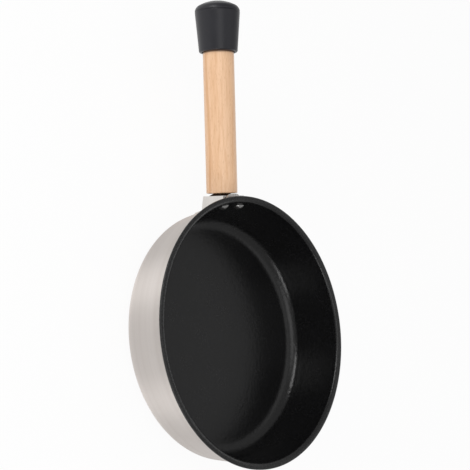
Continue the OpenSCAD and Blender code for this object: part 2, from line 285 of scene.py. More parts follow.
# %% [markdown]
# ## The cap's dome
# The cap is moulded rubber that grips the wood. Its dome is a wide flat arc that runs into a tight
# shoulder. It could be sculpted, but two arcs that meet without a corner look moulded and need two
# radii only. The widest ring is a hair under the CAD's, to stay inside its facets.

# %% Radii of the cap
FACET = 0.07
CAP_DOME_H, CAP_SHOULDER, CAP_LEDGE = 10.2, 6.4, 4.6
CAP_MOUTH_R, CAP_WIDE_R = GRIP_R + 3.3, GRIP_R + 6.3 - FACET
shoulder_x, shoulder_rise = CAP_WIDE_R - CAP_SHOULDER, CAP_DOME_H - CAP_SHOULDER
crown_drop = (shoulder_x ** 2 - shoulder_rise ** 2) / (2 * shoulder_rise)
crown_r, crown_slope = crown_drop + CAP_DOME_H, math.atan2(shoulder_x, crown_drop)
crown_x = crown_r * math.tan(crown_slope / 2)
shoulder_z = CAP_SHOULDER * math.tan((math.pi / 2 - crown_slope) / 2)
print("the dome's crown has a radius of", round(crown_r, 1), "mm, its shoulder", CAP_SHOULDER)

# %% [markdown]
# ## The end cap
# The cap widens from a rounded mouth to a crease, where the halves of a mould would meet. Inside are a
# pocket, a ledge for the wood's end and the bead that snaps into the groove. It could be joined from
# turned parts, but one section has no joints. Two roundings stop just short of full, because a bevel
# that takes up a whole edge has no room.

# %% End cap
CAP_MOUTH_ROUND, CAP_POCKET, CREASE, MOUTH_GAP, GAP_DEEP = 1.4, 5.0, 0.5, 0.9, 2.5
SOFT, FINE, SHOULDER_SHARE, WHOLE = 0.3, 0.1, 0.9, 0.999
bead_from, bead_to, dome_top = CAP_S + BEAD_AT, CAP_S + BEAD_AT + BEAD_W, GRIP_END + CAP_DOME_H
cap_section = [(GRIP_R, CAP_S + GAP_DEEP, 0), (GRIP_R + MOUTH_GAP, CAP_S, SOFT),
               (CAP_MOUTH_R, CAP_S, CAP_MOUTH_ROUND), (CAP_WIDE_R, GRIP_END - CREASE, SOFT),
               (CAP_WIDE_R - CREASE, GRIP_END, FINE), (CAP_WIDE_R, GRIP_END + CREASE, FINE),
               (CAP_WIDE_R, GRIP_END + shoulder_z, CAP_SHOULDER * SHOULDER_SHARE),
               (crown_x, dome_top, crown_r * WHOLE), (0, dome_top, 0),
               (0, GRIP_END + CAP_POCKET, 0), (GRIP_R - CAP_LEDGE, GRIP_END + CAP_POCKET, 0),
               (GRIP_R - CAP_LEDGE, GRIP_END, 0), (GRIP_R, GRIP_END, 0), (GRIP_R, bead_to, 0),
               (GRIP_R - BEAD_H, bead_to, SOFT), (GRIP_R - BEAD_H, bead_from, SOFT),
               (GRIP_R, bead_from, 0)]
cap = finish_piece("cap", turn_on_lathe(cap_section, longest=4.0, steps=128), "end_cap",
                   ON_HANDLE)

# %% [markdown]
# ## The rivets
# Two rivets hold the bracket, each with a domed head inside the pan and a closed end inside the
# bracket. A squashed sphere could be the head, but a rivet is turned, so one section holds head, shank
# and tail. It is spun about its own axis, which a matrix sets square to the wall.

# %% Rivets
RIVET_R, HEAD_R, HEAD_H, TAIL_R, TAIL_H, RIVET_CLEAR = 2.0, 4.8, 2.8, 2.4, 1.2, 0.2
RIVET_EDGE, TAIL_ROUND = 0.2, 0.4
rivet_y = BRACKET_W / 2 - BRACKET_T - RIVET_CLEAR - TAIL_R
rivet_z = WALL_AXIS_Z + (BRACKET_W / 2 - BRACKET_T) / math.cos(RISE) - RIVET_CLEAR - TAIL_R
head_seat = INSIDE + HEAD_R ** 2 / (2 * wall_radius(rivet_z, INSIDE)) + SNUG
ball_r = (HEAD_R ** 2 + HEAD_H ** 2) / (2 * HEAD_H)
ball_x = ball_r * math.tan(math.atan2(HEAD_H, HEAD_R))
tail_z = BRACKET_T + SNUG
rivet_section = [(0, -head_seat - HEAD_H, 0), (ball_x, -head_seat - HEAD_H, ball_r * WHOLE),
                 (HEAD_R, -head_seat, RIVET_EDGE), (RIVET_R, -head_seat, 0), (RIVET_R, tail_z, 0),
                 (TAIL_R, tail_z, RIVET_EDGE), (TAIL_R, tail_z + TAIL_H, TAIL_ROUND),
                 (0, tail_z + TAIL_H, 0)]
rivet_turn = math.asin(rivet_y / wall_radius(rivet_z, 0))
rivets = []
for side, name in ((1, "rivet_left"), (-1, "rivet_right")):
    at_wall = Matrix.Rotation(side * rivet_turn, 4, "Z") @ Matrix.Translation(
        (wall_radius(rivet_z, 0), 0, rivet_z)) @ Matrix.Rotation(math.pi / 2 + LEAN, 4, "Y")
    rivets.append(finish_piece(name, turn_on_lathe(rivet_section, longest=3.0, steps=48),
                               "bracket_rivets", at_wall))

# %% [markdown]
# ## The bracket's section
# The bracket is one sheet, folded into a box with an open seam beside each cheek. It could be a
# hollowed block, but a sheet is easier as a loop of points that later cells draw out row after row. The
# points have to come in order, so the loop is walked once.

# %% Section of the bracket
HALF, FOLD_R, FOLD_STEPS, SEAM_W = 13.5, 2.5, 8, 1.2
SEAM_Y = BRACKET_W / 2 - BRACKET_T - SEAM_W
LONG_RUN, RUN_STEP = 1.5, 1.3


def bracket_loop(bm):
    """The section as an ordered ring of vertices: x is down, y is sideways. It starts in mid top."""
    corners = [(-HALF, 0), (-HALF, SEAM_Y), (-HALF, SEAM_Y + SEAM_W), (-HALF, HALF), (HALF, HALF),
               (HALF, -HALF), (-HALF, -HALF), (-HALF, -SEAM_Y - SEAM_W), (-HALF, -SEAM_Y)]
    verts = [bm.verts.new((x, y, 0)) for x, y in corners]
    for a, b in zip(verts, verts[1:] + verts[:1]):
        bm.edges.new((a, b))
    for vert in verts[4:6]:
        bmesh.ops.bevel(bm, geom=[vert], offset=FOLD_R, offset_type="OFFSET", segments=FOLD_STEPS,
                        profile=0.5, affect="VERTICES", material=-1)
    for edge in [e for e in bm.edges if e.calc_length() > LONG_RUN]:
        bmesh.ops.subdivide_edges(bm, edges=[edge], cuts=int(edge.calc_length() / RUN_STEP))
    start = next(v for v in bm.verts if abs(v.co.y) < ON_AXIS and v.co.x < 0)
    ring = [start]
    step = max(start.link_edges, key=lambda e: e.other_vert(start).co.y)
    while True:
        following = step.other_vert(ring[-1])
        if following == start:
            return ring
        ring.append(following)
        step = next(e for e in following.link_edges if e != step)


bm = bmesh.new()
row = bracket_loop(bm)
section = [v.co.copy() for v in row]
print("points round the bracket:", len(section))

# %% [markdown]
# ## Where the bracket meets the wall
# At the pan the sheet turns out and lies on a wall that leans and is round. A Shrinkwrap modifier could
# find it, but the wall's shape is known: a few steps of trial and error along the handle find it
# exactly, and Pythagoras does for a point of the flange.

# %% Helpers that find the wall
MID, WALL_TRIES = -BRACKET_T / 2, 12
FLANGE_SIDE, FLANGE_RISE, FLANGE_CORNER = 8.0, 2.6, 4.0


def reach_wall(x, y, depth):
    """How far along the handle a line through (x, y) of the section meets the wall at that depth."""
    s = 0.0
    for _ in range(WALL_TRIES):
        p = ON_HANDLE @ Vector((x, y, s))
        s -= (math.hypot(p.x, p.y) - wall_radius(p.z, depth)) / math.cos(RISE)
    return s


def wall_point(y, z, depth):
    """The point of the wall that is y aside and z up."""
    return Vector((math.sqrt(wall_radius(z, depth) ** 2 - y ** 2), y, z))


def past_flange(y, z):
    """How far a point lies outside the flange's rounded outline. Inside it is negative."""
    from_y = abs(y) - (BRACKET_W / 2 + FLANGE_SIDE - FLANGE_CORNER)
    from_z = abs(z - WALL_AXIS_Z) - (BRACKET_W / 2 + FLANGE_RISE - FLANGE_CORNER)
    outside = math.hypot(max(from_y, 0), max(from_z, 0))
    return outside + min(max(from_y, from_z), 0) - FLANGE_CORNER


print("the top of the bracket meets the wall", round(reach_wall(-HALF, 0, MID), 2), "mm along")

# %% [markdown]
# ## The path of each point
# From its front end to the wall each point of the section runs nearly straight. The bottom tapers
# towards the wood, the top plate bows out over it, and each seam slants and widens to the front. A
# straight prism with a cut in it would miss all three.

# %% Path of the section along the handle
CLOSE, WALL_FOLD, TOP_REACH, BOW = 1e-3, 2.0, 1.8, 4
SEAM_SLANT, SEAM_WIDER = 3.0, 1.1


def front_end(point):
    """How far along the handle the sheet reaches at this point of the section."""
    if point.x < 0 and abs(point.y) <= SEAM_Y + CLOSE:
        return BRACKET_END + TOP_REACH * (1 - min(1, abs(point.y) / SEAM_Y) ** BOW)
    return BRACKET_END


wall_s, end_s = [reach_wall(p.x, p.y, MID) for p in section], [front_end(p) for p in section]


def bar_point(i, share):
    """A point of the section between the bracket's end and the fold at the wall, with the taper."""
    s = end_s[i] + (wall_s[i] + WALL_FOLD - end_s[i]) * share
    rise = BRACKET_TAPER * max(0.0, min(1.0, 1 - (BRACKET_END - s) / BRACKET_LEN))
    low = max(0.0, section[i].x / HALF)
    y, on_top = section[i].y, section[i].x < -HALF + CLOSE
    if on_top and abs(y) < SEAM_Y + CLOSE:
        y *= 1 - (SEAM_SLANT + SEAM_WIDER) * (1 - share) / SEAM_Y
    elif on_top and abs(y) < HALF - CLOSE:
        y -= math.copysign(SEAM_SLANT * (1 - share), y)
    return Vector((section[i].x - rise * low, y, s))


print("the top plate reaches", round(max(end_s) - BRACKET_END, 2), "mm over the wood")

# %% [markdown]
# ## The bracket's bar
# Now the sheet grows. Each row of points is extruded from the one before and put in its place. The
# faces of the open seam are noted and taken out at the end, because a closed ring is easier to extrude
# than an open one.

# %% Bar of the bracket
BAR_ROWS = 5


def grow_row(bm, row):
    """Extrudes a ring of vertices and returns the new ring in the same order."""
    edges = [bm.edges.get((a, b)) for a, b in zip(row, row[1:] + row[:1])]
    made = bmesh.ops.extrude_edge_only(bm, edges=edges)["geom"]
    new = {g for g in made if isinstance(g, bmesh.types.BMVert)}
    return [next(e.other_vert(v) for e in v.link_edges if e.other_vert(v) in new) for v in row]


def at_seam(i):
    """Whether the seam lies between this point of the section and the next."""
    here, there = section[i], section[(i + 1) % len(section)]
    low, high = sorted((abs(here.y), abs(there.y)))
    return max(here.x, there.x) < 0 and abs(low - SEAM_Y) + abs(high - SEAM_Y - SEAM_W) < CLOSE


for i, vert in enumerate(row):
    vert.co = ON_HANDLE @ bar_point(i, 0)
seam_faces = []
for k in range(1, BAR_ROWS + 1):
    below, row = row, grow_row(bm, row)
    for i, vert in enumerate(row):
        vert.co = ON_HANDLE @ bar_point(i, k / BAR_ROWS)
        if at_seam(i):
            j = (i + 1) % len(row)
            seam_faces.append(bm.faces.get((below[i], below[j], row[j], row[i])))
print("faces of the open seam:", len(seam_faces))

# %% [markdown]
# ## The fold at the wall
# A press can't make a sharp fold, so the sheet turns onto the wall through a quarter round. A bevel
# would do it on a flat wall. Here every point has its own way to go, so each moves away from the box
# and towards the wall together.

# %% Fold at the wall
FOLD_ROWS, TINY = 6, 1e-4


def outward(point):
    """Direction in the section that leads away from the sheet at this point."""
    if point.x > 0:
        fold = HALF - FOLD_R
        side = math.copysign(max(0.0, abs(point.y) - fold), point.y)
        return Vector((max(0.0, point.x - fold), side, 0)).normalized()
    up = -1.0 if point.x < TINY - HALF else 0.0
    side = math.copysign(1.0, point.y) if abs(point.y) > HALF - TINY else 0.0
    return Vector((up, side, 0))


away = [outward(p) for p in section]
for k in range(1, FOLD_ROWS + 1):
    angle = k / FOLD_ROWS * math.pi / 2
    row = grow_row(bm, row)
    for i, vert in enumerate(row):
        p = bar_point(i, 1) + away[i] * WALL_FOLD * (1 - math.cos(angle))
        p.z = reach_wall(p.x, p.y, MID) + WALL_FOLD * (1 - math.sin(angle))
        vert.co = ON_HANDLE @ p
fold_end = [v.co.copy() for v in row]
print("radius of the fold:", WALL_FOLD, "mm")

# %% [markdown]
# ## The flange
# The flange is what the rivets pull against the wall. As a plate of its own it would show a joint at
# the fold. Its outline is a rectangle with round corners: each point of the fold walks straight out
# from the middle until it stands there, and a few rows between follow the wall.

# %% Flange
FLANGE_ROWS, EDGE_TRIES = 3, 60
flange_edge = []
for p in fold_end:
    stretch, up = 1.0, p.z - WALL_AXIS_Z
    for _ in range(EDGE_TRIES):
        gap = past_flange(p.y * stretch, WALL_AXIS_Z + up * stretch)
        stretch -= gap / math.hypot(p.y, up)
    flange_edge.append((p.y * stretch, WALL_AXIS_Z + up * stretch))
for k in range(1, FLANGE_ROWS + 1):
    share = k / FLANGE_ROWS
    row = grow_row(bm, row)
    for vert, p, (edge_y, edge_z) in zip(row, fold_end, flange_edge):
        vert.co = wall_point(p.y + (edge_y - p.y) * share, p.z + (edge_z - p.z) * share, MID)
print("flange width:", round(2 * max(y for y, _ in flange_edge), 1), "mm")

# %% [markdown]
# ## The bracket as a sheet of metal
# So far it is the middle of a sheet. The seam is opened, a Solidify modifier gives the sheet its
# thickness to both sides, and a Bevel modifier breaks its edges, as tumbling does. Both do to a mesh
# just what happens to the metal.

# %% Bracket
bmesh.ops.delete(bm, geom=seam_faces, context="FACES")
bmesh.ops.recalc_face_normals(bm, faces=list(bm.faces))
bracket = finish_piece("bracket", bm, "handle_bracket")
TUMBLED, CORNER = 0.15, math.radians(50)
sheet = bracket.modifiers.new("sheet", "SOLIDIFY")
sheet.thickness, sheet.offset, sheet.use_even_offset = BRACKET_T * MM, 0, True
broken = bracket.modifiers.new("broken_edges", "BEVEL")
broken.width, broken.segments = TUMBLED * MM, 2
broken.limit_method, broken.angle_limit = "ANGLE", CORNER
print("sheet of", BRACKET_T, "mm, edges broken by", TUMBLED, "mm")

# %% [markdown]
# ## The bracket's end plate
# A thicker plate closes the box and takes the pull of the tie bolt. Its upper corners are cut off, so
# that they don't show in the seams. A slab could be drilled, but the section is here already: the plate
# is the ring between it and the bolt's bore, given a thickness.

# %% End plate
END_PLATE_T, PLAY, SET_BACK, CUT_FROM = 2.0, 0.02, 0.1, 21.0
inset, plate_s = 1 - (BRACKET_T / 2 + PLAY) / HALF, BRACKET_END - SET_BACK
bm = bmesh.new()
outline = bracket_loop(bm)
for i, vert in enumerate(outline):
    corner = max(0.0, abs(section[i].y) - section[i].x - CUT_FROM) / 2
    y = section[i].y - math.copysign(corner, section[i].y)
    vert.co = Vector(((bar_point(i, 0).x + corner) * inset, y * inset, plate_s))
bore = grow_row(bm, outline)
for vert in bore:
    vert.co = Vector((*(vert.co.xy.normalized() * BORE_R), plate_s))
plate = bmesh.ops.extrude_face_region(bm, geom=list(bm.faces))["geom"]
bmesh.ops.translate(bm, verts=[g for g in plate if isinstance(g, bmesh.types.BMVert)],
                    vec=(0, 0, SET_BACK - END_PLATE_T))
bmesh.ops.recalc_face_normals(bm, faces=list(bm.faces))
end_plate = finish_piece("end_plate", bm, "handle_bracket", ON_HANDLE)

# %% [markdown]
# ## Shaders and nodes
# A finish is a shader with a pattern in front of it. Its plain numbers are set on the shader itself,
# and only what varies over the surface comes from nodes. Nodes could be placed by hand in the editor,
# but written down they can be read.

# %% Helpers that make a shader and its nodes
def colour(red, green, blue):
    """A colour as a picture editor gives it, 0 to 255, made linear for a shader."""
    linear = [((c / 255 + 0.055) / 1.055) ** 2.4 if c > 10 else c / 3295 for c in (red, green, blue)]
    return (*linear, 1.0)


def new_finish(name, **numbers):
    """A material and its shader. A number's name is its socket's, with _ for a space."""
    finish = bpy.data.materials.new(name)
    finish.use_nodes = True
    shader = finish.node_tree.nodes["Principled BSDF"]
    for socket, value in numbers.items():
        shader.inputs[socket.replace("_", " ")].default_value = value
    return finish, finish.node_tree, shader


def put(tree, kind, inputs, **settings):
    """Adds a shader node. An input given as a socket is linked, and any other is set."""
    made = tree.nodes.new("ShaderNode" + kind)
    for name, value in settings.items():
        setattr(made, name, value)
    for name, value in inputs.items():
        if isinstance(value, bpy.types.NodeSocket):
            tree.links.new(value, made.inputs[name])
        else:
            made.inputs[name].default_value = value
    return made


print("a mid grey of 128 is", round(colour(128, 128, 128)[0], 3), "of white's light")

# %% [markdown]
# ## Words for patterns
# All the finishes here say the same few things: noise, a noise turned into a range, two colours mixed,
# a sum, a part of a vector, a little relief. Each gets a word of its own, so that a recipe reads like a
# recipe.

# %% Helpers that vary a finish
def grain(tree, where, scale, detail=3.0, roughness=0.55):
    """Noise between 0 and 1. The scale is in lumps per metre of the pattern's own space."""
    return put(tree, "TexNoise", {"Vector": where, "Scale": scale, "Detail": detail,
                                  "Roughness": roughness}).outputs["Fac"]


def spread(tree, value, low, high, start=0.3, end=0.7):
    """Turns the middle of a noise, or another span of a value, into a range."""
    return put(tree, "MapRange", {"Value": value, "From Min": start, "From Max": end,
                                  "To Min": low, "To Max": high}).outputs["Result"]


def tint(tree, share, first, second):
    """Mixes two colours, sockets or numbers up to 255, by a share between 0 and 1."""
    first, second = [c if isinstance(c, bpy.types.NodeSocket) else colour(*c) for c in (first, second)]
    made = put(tree, "Mix", {0: share, 6: first, 7: second}, data_type="RGBA")
    return made.outputs[2]


def reckon(tree, operation, *values):
    """A sum, product or other reckoning with sockets and numbers."""
    return put(tree, "Math", dict(enumerate(values)), operation=operation).outputs[0]


def part(tree, vector, letter):
    """One of the X, Y and Z of a vector."""
    return put(tree, "SeparateXYZ", {"Vector": vector}).outputs[letter]


def feed(shader, socket, value):
    """Leads what varies over the surface into a shader's socket."""
    shader.id_data.links.new(value, shader.inputs[socket])


def relief(shader, height, strength, depth):
    """Gives the shader a bump of that depth in metres."""
    made = put(shader.id_data, "Bump", {"Height": height, "Strength": strength, "Distance": depth})
    feed(shader, "Normal", made.outputs["Normal"])


def dress(finish, *pieces):
    """Puts a finish on pieces, new ones or those of the CAD."""
    for piece in pieces:
        if piece.material_slots:
            piece.material_slots[0].material = finish
        else:
            piece.data.materials.append(finish)
    print(finish.name, "on", [piece.name for piece in pieces])


# %% [markdown]
# ## Where a pattern lies
# A brush held against a spinning pan leaves marks that run round it. So the pattern's space is bent:
# going round the axis moves very little through the noise, and going up or out moves fully. A UV map
# would need a seam. On the handle, a Mapping node turns the space until z is the handle's axis.

# %% Helpers for the pattern's space
BRUSH_DRAG = 0.002


def on_object(tree):
    """The pan's own frame, in metres."""
    return put(tree, "TexCoord", {}).outputs["Object"]


def round_the_axis(tree):
    """Space in which noise becomes streaks that run round the z axis."""
    parts = put(tree, "SeparateXYZ", {"Vector": on_object(tree)}).outputs
    flat = put(tree, "CombineXYZ", {"X": parts["X"], "Y": parts["Y"]}).outputs[0]
    reach = put(tree, "VectorMath", {0: flat}, operation="LENGTH").outputs["Value"]
    heading = put(tree, "VectorMath", {0: flat}, operation="NORMALIZE").outputs[0]
    dragged = put(tree, "VectorMath", {0: heading, "Scale": BRUSH_DRAG}, operation="SCALE")
    lift = put(tree, "CombineXYZ", {"Z": reckon(tree, "ADD", reach, parts["Z"])})
    dragged, lift = dragged.outputs[0], lift.outputs[0]
    return put(tree, "VectorMath", {0: dragged, 1: lift}, operation="ADD").outputs[0]


def along_the_handle(tree, stretch=1.0):
    """Space whose z axis is the handle's, with everything drawn out along it by a factor."""
    turned = put(tree, "Mapping", {"Vector": on_object(tree), "Rotation": (0, handle_turn, 0),
                                   "Location": (RIM_R * MM, 0, HANDLE_Z * MM)},
                 vector_type="TEXTURE")
    return put(tree, "VectorMath", {0: turned.outputs[0], 1: (1, 1, 1 / stretch)},
               operation="MULTIPLY").outputs[0]


print("a metre round the rim is", round(BRUSH_DRAG / (RIM_R * MM), 4), "metres of pattern")

# %% [markdown]
# ## Satin steel
# The outside of the pan is stainless steel, brushed while it turns. A picture of it would tear where
# the bend closes in, so three noises do it: a broad one for rings of tone, a fine one for brush lines
# in gloss and relief, and a loose one for the haze that hands leave. Anisotropy draws highlights out
# across the lines.

# %% Satin steel of the body
RINGS_PER_LINES, HAZE = 12, 22.0


def satin_steel(name, shade, dark_shade, space, gloss, lines=1600.0, depth=0.000012, drawn_out=0.0):
    """A brushed metal: its space says which way the brush went."""
    finish, tree, shader = new_finish(name, Metallic=1.0, Roughness=0.33, Anisotropic=drawn_out,
                                      Anisotropic_Rotation=0.25)
    where = space(tree)
    rings = grain(tree, where, lines / RINGS_PER_LINES, 2.0)
    brush = grain(tree, where, lines, 4.0, 0.65)
    haze = spread(tree, grain(tree, on_object(tree), HAZE), -0.03, 0.04)
    tone = reckon(tree, "ADD", spread(tree, rings, 0.0, 0.6), spread(tree, brush, 0.0, 0.4))
    feed(shader, "Base Color", tint(tree, tone, dark_shade, shade))
    hazy = reckon(tree, "ADD", spread(tree, brush, *gloss), haze)
    feed(shader, "Roughness", hazy)
    relief(shader, brush, 0.35, depth)
    return finish


body_steel = satin_steel("satin_steel", (215, 209, 205), (202, 195, 190), round_the_axis,
                         gloss=(0.43, 0.53), drawn_out=0.9)
dress(body_steel, pan_shell)

# %% [markdown]
# ## The turned base and the rivets
# The base is the same steel with coarser tool marks. A rivet's head is formed by one blow of a punch,
# so it has no brush lines: its noise lies in plain space, and it is darker and glossier. One recipe
# with other numbers does for both.

# %% Steel of the base and the rivets
base_steel = satin_steel("base_steel", (205, 201, 196), (184, 180, 176), round_the_axis,
                         gloss=(0.24, 0.42), lines=900.0, depth=0.00003, drawn_out=0.6)
dress(base_steel, base_disc)
rivet_steel = satin_steel("rivet_steel", (168, 167, 166), (146, 145, 144), on_object,
                          gloss=(0.24, 0.32), lines=700.0, depth=0.00001)
dress(rivet_steel, *rivets)

# %% [markdown]
# ## The bracket's steel
# The bracket was brushed along its length before it was folded. A UV map could follow the sheet, but
# the folds are small, so its streaks simply lie in the handle's space, drawn out fourteen times.

# %% Steel of the bracket
BRACKET_STREAKS = 14.0
bracket_steel = satin_steel("bracket_steel", (226, 222, 218), (208, 204, 200),
                            lambda tree: along_the_handle(tree, BRACKET_STREAKS), gloss=(0.24, 0.36),
                            lines=1500.0)
dress(bracket_steel, bracket, end_plate)

# %% [markdown]
# ## Painted shade inside a folded box
# No brush reaches the inside of the bracket. It is painted near black as shade, so that the open seams
# show as dark lines. Solidify makes the inner faces, so they can't be picked by hand. Instead the
# finish turns dark wherever it finds itself inside the box.

# %% Painted shade inside the bracket
SHADE_DEPTH, SHADE_BLUR, SHADE_LOW, SHADE_FRONT = 0.3, 0.2, 9.0, 0.5


def paint_shade_inside(finish, shade_painted):
    """Paints shade on the steel between the cheeks, under the top, over the floor and behind the front.
    """
    tree, shader = finish.node_tree, finish.node_tree.nodes["Principled BSDF"]
    parts = put(tree, "SeparateXYZ", {"Vector": along_the_handle(tree)}).outputs
    sideways = reckon(tree, "ABSOLUTE", parts["Y"])
    skin, front, hidden = HALF - SHADE_DEPTH, BRACKET_END - SHADE_FRONT, 1.0
    for value, low, high in ((sideways, skin, skin + SHADE_BLUR), (parts["X"], SHADE_LOW, SHADE_LOW + 1),
                             (parts["Z"], front, front + SHADE_BLUR)):
        inside = spread(tree, value, 1.0, 0.0, low * MM, high * MM)
        hidden = reckon(tree, "MULTIPLY", hidden, inside)
    under_top = spread(tree, parts["X"], 0.0, 1.0, -(skin + SHADE_BLUR) * MM, -skin * MM)
    hidden = reckon(tree, "MULTIPLY", hidden, under_top)
    brushed = shader.inputs["Base Color"].links[0].from_socket
    feed(shader, "Base Color", tint(tree, hidden, brushed, shade_painted))
    print(finish.name, "is raw within", round(skin, 1), "mm of the middle")


# painted shade: a near-black tone over the bracket's inside and its open seams
paint_shade_inside(bracket_steel, (36, 32, 30))

# %% [markdown]
# ## The colour of the non-stick coating
# The coating is black paint, sprayed in fine drops and baked. Plain black would look like a hole. Seen
# close, the drops have two tones of near black, with a few lighter mineral specks: the middles of a
# cell pattern, which spaces them as a spray does.

# %% Colour of the coating
DROPS, SPECKS = 720.0, 700.0
nonstick, tree, shader = new_finish("black_nonstick", Roughness=0.22, IOR=1.45)
where = on_object(tree)
drops = grain(tree, where, DROPS, 3.0, 0.6)
ground = tint(tree, spread(tree, drops, 0.0, 1.0, 0.38, 0.62), (8, 8, 8), (22, 22, 23))
cells = put(tree, "TexVoronoi", {"Vector": where, "Scale": SPECKS, "Randomness": 1.0})
speck = spread(tree, cells.outputs["Distance"], 0.55, 0.0, 0.10, 0.22)
feed(shader, "Base Color", tint(tree, speck, ground, (52, 52, 54)))
dress(nonstick, lining)

# %% [markdown]
# ## The gloss of the coating
# The drops leave an orange-peel skin, which breaks up every highlight. Wider swells do the same,
# patches differ a little in gloss, and the lip is a bit duller. It could be modelled, but it is a tenth
# of a millimetre high, so it is bump.

# %% Gloss and relief of the coating
SWELLS, PATCHES, LIP_FROM, LIP_TO = 330.0, 60.0, (PAN_H - 5) * MM, (PAN_H - 2) * MM
dry_lip = spread(tree, part(tree, where, "Z"), 0.0, 0.04, LIP_FROM, LIP_TO)
patches = spread(tree, grain(tree, where, PATCHES, 3.0), -0.02, 0.03)
uneven = reckon(tree, "ADD", patches, dry_lip)
gloss = reckon(tree, "ADD", spread(tree, drops, 0.19, 0.27), uneven)
feed(shader, "Roughness", gloss)
swells = spread(tree, grain(tree, where, SWELLS, 2.0, 0.5), 0.0, 1.6, 0.2, 0.8)
relief(shader, reckon(tree, "ADD", drops, swells), 0.6, 0.00012)
print("the lip is duller from", round(LIP_FROM / MM, 1), "mm up")

# %% [markdown]
# ## Beech
# Beech is pale and even. Along the grain it shows faint bands, fibres and fine pores, with clouds of a
# warmer tone over all. A picture of wood would show where it repeats. Each noise here is drawn out
# along the handle by its own factor and laid over the last, as a painter grains a door.

# %% Grain of the beech
BANDS, FIBRES, PORES, CLOUDS = 190.0, 620.0, 2600.0, 30.0
beech, tree, shader = new_finish("beech", Roughness=0.34, IOR=1.5)
bands = put(tree, "TexNoise", {"Vector": along_the_handle(tree, 30.0), "Scale": BANDS,
                               "Detail": 3.0, "Distortion": 0.4}).outputs["Fac"]
fibres = grain(tree, along_the_handle(tree, 12.0), FIBRES, 3.0, 0.6)
pores = grain(tree, along_the_handle(tree, 24.0), PORES, 3.0, 0.6)
clouds = grain(tree, along_the_handle(tree, 3.0), CLOUDS, 2.0)
wood = tint(tree, spread(tree, bands, 0.0, 1.0), (237, 198, 162), (231, 190, 152))
wood = tint(tree, spread(tree, clouds, 0.0, 0.25), wood, (230, 182, 140))
wood = tint(tree, spread(tree, fibres, 0.0, 0.55, 0.46, 0.66), wood, (216, 167, 124))
wood = tint(tree, spread(tree, pores, 0.0, 0.35, 0.52, 0.75), wood, (206, 156, 112))
dress(beech, grip)

# %% [markdown]
# ## A line of painted shade
# One darker line along the grip's side is painted shade, where the grip turns from its lit face to its
# bright edge. One more band of noise would lie anywhere, so the line lies at a set distance from the
# axis, and a slow noise lets it wander by a millimetre.

# %% One line of painted shade
SHADE_LINE_SIDE, SHADE_LINE_AT, SHADE_LINE_WANDER = (0.748, 0.663, 0), 0.0107, 0.0012
wander = spread(tree, grain(tree, along_the_handle(tree, 6.0), 60.0, 2.0), -SHADE_LINE_WANDER, SHADE_LINE_WANDER)
aside = put(tree, "VectorMath", {0: along_the_handle(tree), 1: SHADE_LINE_SIDE},
            operation="DOT_PRODUCT").outputs["Value"]
from_shade_line = reckon(tree, "SUBTRACT", reckon(tree, "ADD", aside, wander), SHADE_LINE_AT)
line = spread(tree, reckon(tree, "ABSOLUTE", from_shade_line), 0.55, 0.0, 0.0003, 0.0018)
# painted shade: a darker line along the grip's side, where its lit face turns
wood = tint(tree, line, wood, (207, 154, 106))
print("the painted_shade line lies", round(SHADE_LINE_AT / MM, 1), "mm from the axis")

# %% [markdown]
# ## Flecks
# Short brown flecks, the rays of the wood cut across, are the mark of beech. Drawn one by one they
# would be thousands, so they are the middles of a cell pattern drawn out along the grain. Each cell's
# random colour decides whether it is kept, because a fleck in every cell would look printed.

# %% Flecks of the beech
FLECKS = 1300.0
cells = put(tree, "TexVoronoi", {"Vector": along_the_handle(tree, 7.0), "Scale": FLECKS})
slim = spread(tree, cells.outputs["Distance"], 1.0, 0.0, 0.12, 0.34)
luck = put(tree, "SeparateColor", {"Color": cells.outputs["Color"]}).outputs["Red"]
kept = spread(tree, luck, 0.0, 0.42, 0.50, 0.60)
wood = tint(tree, reckon(tree, "MULTIPLY", slim, kept), wood, (184, 130, 86))
print("fleck cells across the grip:", round(2 * GRIP_R * MM * FLECKS))

# %% [markdown]
# ## Oil, and the cap's mouth
# A thin oil finish gives the wood its soft shine. Where the wood goes into the cap, the last millimetre
# or
# so is painted dark: painted shade for the gap, which light alone would leave too pale at this size.

# %% Finish of the beech
PAINTED_SHADE_FROM, PAINTED_SHADE_TO = (CAP_S - 1.8) * MM, (CAP_S - 0.3) * MM
painted_shade_at_mouth = spread(tree, part(tree, along_the_handle(tree), "Z"), 0.0, 0.95, PAINTED_SHADE_FROM, PAINTED_SHADE_TO)
# painted shade: a dark band on the wood just before the cap's mouth
feed(shader, "Base Color", tint(tree, painted_shade_at_mouth, wood, (70, 42, 26)))
feed(shader, "Roughness", spread(tree, pores, 0.28, 0.40))
relief(shader, pores, 0.25, 0.00003)
print("the wood is painted_with_shade over", round((PAINTED_SHADE_TO - PAINTED_SHADE_FROM) / MM, 1), "mm at the cap")

# %% [markdown]
# ## Rubber cap and plastic spacer
# Both are moulded, with a fine spark-eroded skin. One plain dark colour would look unreal, so pits and
# slightly rubbed patches vary tone and gloss. The rubber is a cool charcoal, and the spacer is a
# browner plastic.

# %% Moulded finishes
RUBBED = 45.0


def moulded(name, shade, worn_shade, gloss, pit_scale, depth):
    """A matte moulded skin with fine pits and slightly rubbed patches."""
    finish, tree, shader = new_finish(name, Roughness=0.4, IOR=1.45)
    where = on_object(tree)
    pits, rubbed = grain(tree, where, pit_scale, 2.0, 0.6), grain(tree, where, RUBBED, 4.0)
    tone = reckon(tree, "ADD", spread(tree, pits, 0.0, 0.5), spread(tree, rubbed, 0.0, 0.5))
    feed(shader, "Base Color", tint(tree, tone, shade, worn_shade))
    feed(shader, "Roughness", spread(tree, rubbed, *gloss))
    relief(shader, pits, 0.5, depth)
    return finish


